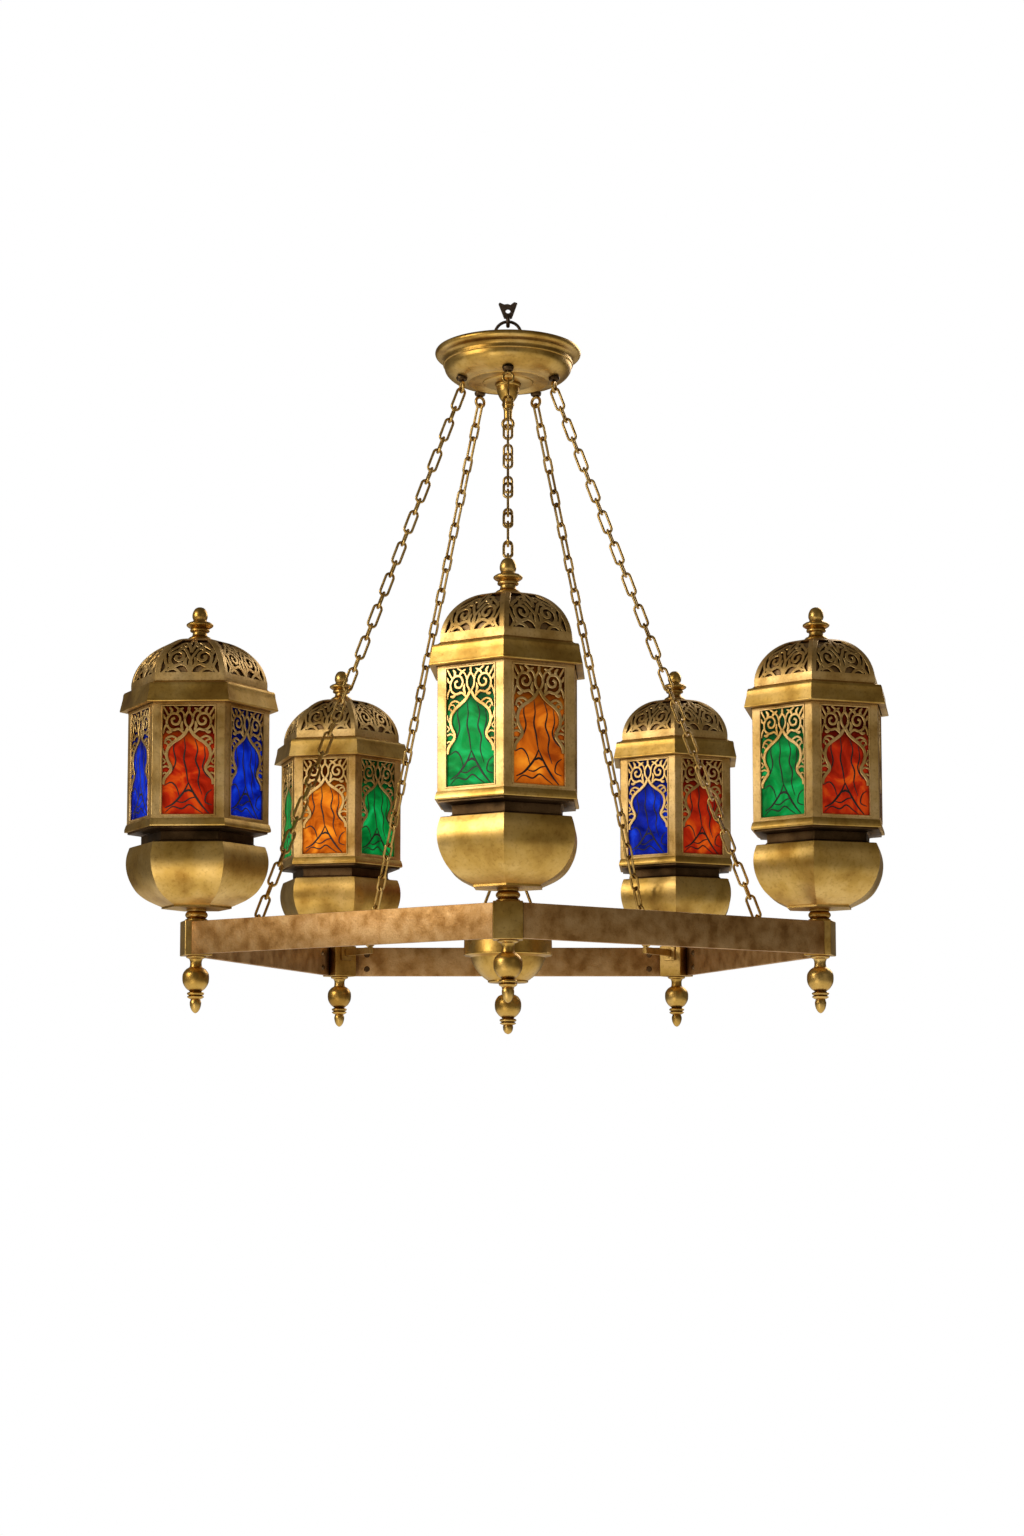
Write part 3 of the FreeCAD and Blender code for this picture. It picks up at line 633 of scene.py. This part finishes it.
enamel = brass("dark_enamel", (0.02, 0.014, 0.01), (0.012, 0.008, 0.006), (0.006, 0.004, 0.003),
               0.5, 0.0003, 0.0)
PANE_LINES = [                             # each as its (across, up) line and its width
    ([(-4.5, 206), (-3.4, 196), (-4.6, 186), (-2.4, 176), (-1.2, 168), (0, 161)], 1.8),
    ([(0, 163), (-3.6, 155), (-9, 148), (-15, 142), (-22, 138.5)], 2.3),
    ([(0, 163), (3.8, 155), (8.6, 147), (14, 139.5), (20, 133)], 2.3),
    ([(-3.6, 153.6), (0.4, 155.4), (4.6, 153.2)], 2.4),
    ([(-22, 134), (-15, 139.5), (-6, 137.5), (1, 141.5), (8, 137), (14, 133)], 1.6),
    ([(-12, 145), (-5, 143.6), (2, 147.5), (7.6, 148.6)], 1.5),
    ([(-13, 206), (-14.6, 195), (-12.4, 184), (-15.4, 175), (-21, 169)], 1.6),
    ([(5.6, 205), (8.6, 195), (6.8, 184), (10.4, 174), (9.4, 163), (13.4, 151)], 1.8),
    ([(14.6, 199), (15.8, 188), (13.6, 178), (17.2, 170), (23, 166)], 1.5),
    ([(-23, 160), (-16.6, 163), (-11.4, 158), (-8.6, 149)], 1.6),
    ([(23, 156), (18, 152), (16.4, 144), (23, 141)], 1.5),
]


def pane_lines():
    """The enamel lines of all six panes, a little proud of the glass."""
    points = []
    faces = []
    for k in range(6):
        face = flat_face(k)
        for path, width in PANE_LINES:
            strip(points, faces, flowing(path, 5), width, face, PANE_FRONT + 0.15, PANE_FRONT - 0.8, True)
    return closed_mesh("pane_lines", points, faces, 40)


lines = pane_lines()
for i in range(5):
    on_lantern("pane_lines", i, lines, "fixture", enamel, "dark_brass")

# --- Cornices -------------------------------------------------------------------------------------------
# A six-sided folded cap that overhangs the case: upright skirt, sloping face and a step up to the dome.
cornice = six_sided("cornice", [
    [(71.4, 240.6), (78.2, 240.6)], [(78.2, 240.6), (78.6, 241.4), (78.2, 243)],
    [(78.2, 243), (77.0, 248), (75.8, 253), (75.2, 257.6)], [(75.2, 257.6), (74.2, 259.4)],
    [(74.2, 259.4), (70, 260.4), (67.4, 262.2)], [(67.4, 262.2), (58, 262.4)],
], [[(58, 262.4), (58, 251)], [(58, 251), (71.4, 250.6)], [(71.4, 250.6), (71.4, 240.7)]], 22, 0.9)
for i in range(5):
    on_lantern("cornice_cap", i, cornice, "dome_lift_%d" % (i + 1), satin_brass, "aged_brass",
               "cornice_%d" % (i + 1))

# --- Domes ----------------------------------------------------------------------------------------------
# Six pierced gores of sheet brass between smooth ribs, on a plain band, under a smooth cap; a thin browned
# skin closes the dome behind the piercing.
DOME_LINE = flowing([(67.5, 262), (67.5, 268), (66.4, 274), (63.6, 281.2), (58.8, 288.8), (52, 296),
                     (43.4, 302.4), (32.6, 307.6), (20, 310.8), (6, 312.2)], 6)
DOME_RUN = [0.0]                           # distance up the outline at each of its points
for first, second in zip(DOME_LINE, DOME_LINE[1:]):
    DOME_RUN.append(DOME_RUN[-1] + math.dist(first, second))


def along_dome(up):
    """Corner radius, height and outward lean of the dome at a distance up its outline, in millimetres."""
    up = min(max(up, 0.0), DOME_RUN[-1] - 0.01)
    k = max(j for j in range(len(DOME_RUN) - 1) if DOME_RUN[j] <= up)
    t = (up - DOME_RUN[k]) / (DOME_RUN[k + 1] - DOME_RUN[k])
    (r0, h0), (r1, h1) = DOME_LINE[k], DOME_LINE[k + 1]
    lean = math.atan2(r0 - r1, h1 - h0)
    return r0 + (r1 - r0) * t, h0 + (h1 - h0) * t, lean


def dome_face(k):
    """Gore k of the dome: across and up along its face, out along its normal."""
    a = math.radians(30 + 60 * k)
    flat = math.cos(math.radians(30))

    def spot(across, up, out):
        r, h, lean = along_dome(up)
        reach = r * flat + out * math.cos(lean)
        return (reach * math.sin(a) + across * math.cos(a), -reach * math.cos(a) + across * math.sin(a),
                h + out * math.sin(lean))

    return spot


BAND, CAP = 7.5, 60.0                      # the pierced part, up the dome's outline
SCROLLS_TALL = 41.5                        # height of the scrolls as drawn; they stretch to fill the gore
GORE_WIDE = 25.0                           # half of the gore's width that they are drawn for
GORE_SWELL = 1.55                          # how much wider than drawn they are cut
RIB = 5.0
RIB_CLEAR = 3.6                            # the scrolls stop this far from the gore's edge
TOP_HOLE = 2.4                             # radius left open for the finial's screw
SKIN_FALL = 0.6                            # how far an inner skin drops for each millimetre that it lies inside
# right-hand half of one gore, listed as SCROLLS is
GORE_SCROLLS = [
    (flowing([(0, BAND), (3.2, 13), (9.0, 15.5), (15.5, 13.5), (19.8, 17.5), (19.4, 24), (14.4, 28.2),
              (8.6, 26.4), (7.2, 21.2), (10.8, 18.2), (14.6, 20.2), (13.6, 23.6)], 5), 2.1, False),
    (flowing([(0, BAND + 1), (-0.6, 17), (2.6, 24), (6.8, 31), (12, 34.4), (13.4, 38.6), (9.0, 41.4),
              (5.0, 38.6), (6.2, 35.2), (8.8, 36.6)], 5), 1.9, False),
    (flowing([(0, CAP), (3.0, 44), (3.6, 38), (1.4, 32), (0, 27)], 5), 1.8, False),
    (flowing([(26.5, BAND), (22.6, 12.5), (24.4, 18), (25.6, 24)], 5), 1.8, False),
    (flowing([(19.6, 23), (21.8, 28), (18.0, 33.0), (14.2, 36.6)], 5), 1.8, False),
    (flowing([(10, BAND), (13.6, 10.6), (18.4, 11.4), (22.8, 9)], 5), 1.9, False),
    (flowing([(3.4, 12.4), (5.4, 17.0), (3.8, 21.6)], 4), 2.4, True),
    (flowing([(15.4, 14), (18.6, 12.6), (21.4, 15.4)], 4), 2.4, True),
    (flowing([(12.6, 28.6), (12.2, 31.6), (8.4, 31.6)], 4), 2.5, True),
    (flowing([(19.0, 29.0), (21.6, 31.6), (20.2, 26.8)], 4), 2.2, True),
]


def dome_ring(points, faces, low, high, steps, inset, thick):
    """Plain six-sided band of the dome between two distances up its outline."""
    first = len(points)
    runs = [low + (high - low) * n / steps for n in range(steps + 1)]

    def skin(depth, order):
        return [(along_dome(v)[0] - depth, along_dome(v)[1] - depth * SKIN_FALL) for v in order]

    rings = skin(inset, runs) + skin(inset + thick, reversed(runs))
    for r, h in rings:
        for j in range(6):
            a = math.radians(60 * j)
            points.append((max(r, TOP_HOLE) * math.sin(a), -max(r, TOP_HOLE) * math.cos(a), h))
    for n in range(len(rings)):
        for j in range(6):
            a, b = first + n * 6 + j, first + n * 6 + (j + 1) % 6
            c = first + (n + 1) % len(rings) * 6
            faces.append((a, b, c + (j + 1) % 6, c + j))


def dome_lining():
    """The thin skin behind the piercing."""
    points = []
    faces = []
    dome_ring(points, faces, BAND - 4, CAP + 3, 14, 2.6, 0.8)
    return closed_mesh("dome_lining", points, faces, 26)


def pierced_dome():
    """Ribs and scrolls of all six gores, with the plain band below and the cap above."""
    points = []
    faces = []
    heights = [BAND + (CAP - BAND) * k / 12 for k in range(13)]
    for k in range(6):
        gore = dome_face(k)
        for side in (-1, 1):
            rib = [(side * (along_dome(v)[0] / 2 - RIB / 2), v) for v in heights]
            strip(points, faces, rib, RIB, gore, 0.0, -1.6)
            for path, width, leaf in GORE_SCROLLS:
                line = [(side * u, BAND + (v - BAND) * (CAP - BAND) / SCROLLS_TALL) for u, v in path]
                line = [(u * min(1.0, (along_dome(v)[0] / 2 - RIB_CLEAR) / GORE_WIDE), v) for u, v in line]
                strip(points, faces, line, width * GORE_SWELL, gore, -0.2, -1.4, leaf)
    for low, high, steps in ((0.0, BAND + 0.6, 5), (CAP - 0.8, DOME_RUN[-1] - 0.2, 10)):
        dome_ring(points, faces, low, high, steps, 0.0, 1.8)
    return closed_mesh("pierced_dome", points, faces, 26)


lining_brass = brass("lining_brass", (0.58, 0.40, 0.21), (0.44, 0.28, 0.13), (0.26, 0.155, 0.06), 0.5, 0.0004)
dome = pierced_dome()
lining = dome_lining()
for i in range(5):
    lift = "dome_lift_%d" % (i + 1)
    on_lantern("pierced_dome", i, dome, lift, pierced_brass, "fretwork_brass", "dome_%d" % (i + 1))
    on_lantern("dome_lining", i, lining, lift, lining_brass, "dark_brass")

# --- Dome finials ---------------------------------------------------------------------------------------
# A turned acorn on a wide disc, screwed down through the dome's cap.
acorn = lathe("dome_finial", [
    [(3, 306), (3, 311.6)], [(3, 311.6), (11.4, 311.6)], [(11.4, 311.6), (11.8, 313), (10.2, 314.6)],
    [(10.2, 314.6), (7.8, 316), (7.0, 318.4), (7.2, 320)],
    [(7.2, 320), (9.2, 320.4), (9.6, 322), (8.8, 323.4)],
    [(8.8, 323.4), (10.4, 324.2), (12.9, 326), (13, 327.8), (10.4, 329.6)], [(10.4, 329.6), (7.2, 330.6)],
    [(7.2, 330.6), (6.4, 332)], [(6.4, 332), (7.5, 335), (7.2, 339), (5.4, 342.8), (2.8, 344.7), (0, 345)],
])
for i in range(5):
    number = "%d" % (i + 1)
    set_in_place("acorn_" + number, acorn, lantern_axis(i), 0, "dome_lift_" + number, satin_brass,
                 "aged_brass", "dome_finial_" + number)

# --- Inside the lanterns --------------------------------------------------------------------------------
# Zinc-plated tubes and nuts, glazed lampholders and frosted candle lamps keep their solid shapes.
zinc = brass("zinc_plate", (0.62, 0.61, 0.56), (0.5, 0.5, 0.46), (0.34, 0.33, 0.3), 0.36, 0.0003)
glaze = brass("glazed_white", (0.86, 0.84, 0.78), (0.82, 0.79, 0.72), (0.72, 0.68, 0.6), 0.24, 0.0002, 0.0)
frosted = brass("frosted_lamp", (0.95, 0.92, 0.84), (0.9, 0.87, 0.79), (0.84, 0.8, 0.7), 0.34, 0.0001, 0.0)
refinish(zinc, "tie_tubes", "lock_nuts", "eye_nuts")
refinish(glaze, "lampholders")
refinish(frosted, "lamps")

# --- Centre bowl ----------------------------------------------------------------------------------------
# A small spun dish with an upright rim band, carried by three legs from the centre chain, and a drop finial
# screwed up through its foot.
dish = lathe("centre_dish", [
    [(4.2, -21), (19, -21)], [(19, -21), (20.4, -20.2), (20.4, -18.8)],
    [(20.4, -18.8), (26, -14.6), (31.6, -8.6), (35.6, -2), (38, 4.6)], [(38, 4.6), (41, 6), (44.2, 6.4)],
    [(44.2, 6.4), (45.2, 7.4), (44.8, 8.8)], [(44.8, 8.8), (44.5, 26.2)],
    [(44.5, 26.2), (45.6, 27.2), (45, 28.2)], [(45, 28.2), (43.2, 28.2)], [(43.2, 28.2), (42.9, 9)],
    [(42.9, 9), (36.4, 5.6), (30, -7.6), (24, -14), (17.6, -18)], [(17.6, -18), (4.2, -19)],
], 72)
set_in_place("centre_dish", dish, AXIS, 0, "centre_drop", satin_brass, "aged_brass", "centre_bowl")
centre_drop = lathe("centre_finial", [
    [(0, -14.5), (7.4, -14.5)], [(7.4, -14.5), (7.4, -18.6)], [(7.4, -18.6), (4, -19)], [(4, -19), (4, -21)],
    [(4, -21), (9.2, -21)], [(9.2, -21), (9.4, -22.4), (8.6, -23.4)], [(8.6, -23.4), (6.6, -24.6)],
    [(6.6, -24.6), (6.0, -28), (6.2, -32.6)],
    [(6.2, -32.6), (10, -34.6), (12.8, -39), (13.5, -44), (12.6, -49.2), (9.6, -53.6), (6.6, -56)],
    [(6.6, -56), (5.8, -57)], [(5.8, -57), (7.8, -57.6), (8.6, -58.8), (7.8, -60)],
    [(7.8, -60), (6.4, -60.6)], [(6.4, -60.6), (8.2, -61.8), (7.0, -63)], [(7.0, -63), (4.8, -63.8)],
    [(4.8, -63.8), (5.2, -66), (4.4, -69.6), (2.4, -72), (0, -73)],
])
set_in_place("centre_pendant", centre_drop, AXIS, 0, "centre_drop", satin_brass, "aged_brass",
             "centre_finial")

# --- Studio ---------------------------------------------------------------------------------------------
# Pale floor well below the fixture, a white surround, large soft lamps, and the camera at eye level below.
FLOOR_R, FLOOR_SIDES = 5.8, 96
FLOOR_DROP = 1.6
rim = [2 * math.pi * k / FLOOR_SIDES for k in range(FLOOR_SIDES)]
floor = bpy.data.meshes.new("floor")
floor.from_pydata([(FLOOR_R * math.cos(a), FLOOR_R * math.sin(a), 0) for a in rim], [],
                  [tuple(range(FLOOR_SIDES))])
ground = bpy.data.objects.new("floor", floor)
bpy.context.scene.collection.objects.link(ground)
ground.location.z = FOOT - FLOOR_DROP
pale = bpy.data.materials.new("pale_floor")
pale.use_nodes = True
paint = pale.node_tree.nodes["Principled BSDF"].inputs
paint["Base Color"].default_value = (0.9, 0.9, 0.89, 1)
paint["Roughness"].default_value = 0.9
paint["Emission Color"].default_value = (1, 1, 1, 1)
paint["Emission Strength"].default_value = 0.55
floor.materials.append(pale)

world = bpy.data.worlds.new("studio")
bpy.context.scene.world = world
world.use_nodes = True
sky = world.node_tree.nodes
wires = world.node_tree.links
glow = sky["Background"]
glow.inputs["Color"].default_value = (1.0, 0.90, 0.72, 1)
glow.inputs["Strength"].default_value = 0.105
plain = sky.new("ShaderNodeBackground")
plain.inputs["Color"].default_value = (1, 1, 1, 1)
plain.inputs["Strength"].default_value = 1.0
path_kind = sky.new("ShaderNodeLightPath")
blend = sky.new("ShaderNodeMixShader")
wires.new(path_kind.outputs["Is Camera Ray"], blend.inputs[0])
wires.new(glow.outputs[0], blend.inputs[1])
wires.new(plain.outputs[0], blend.inputs[2])
wires.new(blend.outputs[0], sky["World Output"].inputs["Surface"])


def soft_lamp(name, place, power, size, colour):
    """Square soft lamp that faces the middle of the fixture."""
    lamp = bpy.data.lights.new(name, "AREA")
    lamp.energy = power
    lamp.size = size
    lamp.color = colour
    stand = bpy.data.objects.new(name, lamp)
    bpy.context.scene.collection.objects.link(stand)
    stand.location = place
    aim = Vector((0, 0, FOOT + 0.2)) - Vector(place)
    stand.rotation_euler = aim.to_track_quat("-Z", "Y").to_euler()


soft_lamp("key", (-2.3, -1.35, FOOT + 1.0), 32, 1.2, (1.0, 0.95, 0.86))
soft_lamp("fill", (1.7, -2.0, FOOT + 0.6), 1.4, 1.4, (1.0, 0.93, 0.82))
soft_lamp("back", (1.3, 1.9, FOOT + 1.4), 20, 1.2, (1.0, 0.95, 0.87))
soft_lamp("low", (-0.9, -1.6, FOOT - 0.7), 4, 1.0, (1.0, 0.94, 0.85))

eye = bpy.data.cameras.new("camera")
eye.lens = 59.22656                        # millimetres, on a frame 36 mm along its long side
eye.shift_x = 0.0026042
eye.shift_y = 0.0677083
camera = bpy.data.objects.new("camera", eye)
bpy.context.scene.collection.objects.link(camera)
camera.location = (0, -2.56, FOOT - 0.159)
camera.rotation_euler = (math.radians(90 + 5.6), 0, 0)    # tilted up by 5.6 degrees
bpy.context.scene.camera = camera
bpy.context.scene.view_settings.view_transform = "Standard"
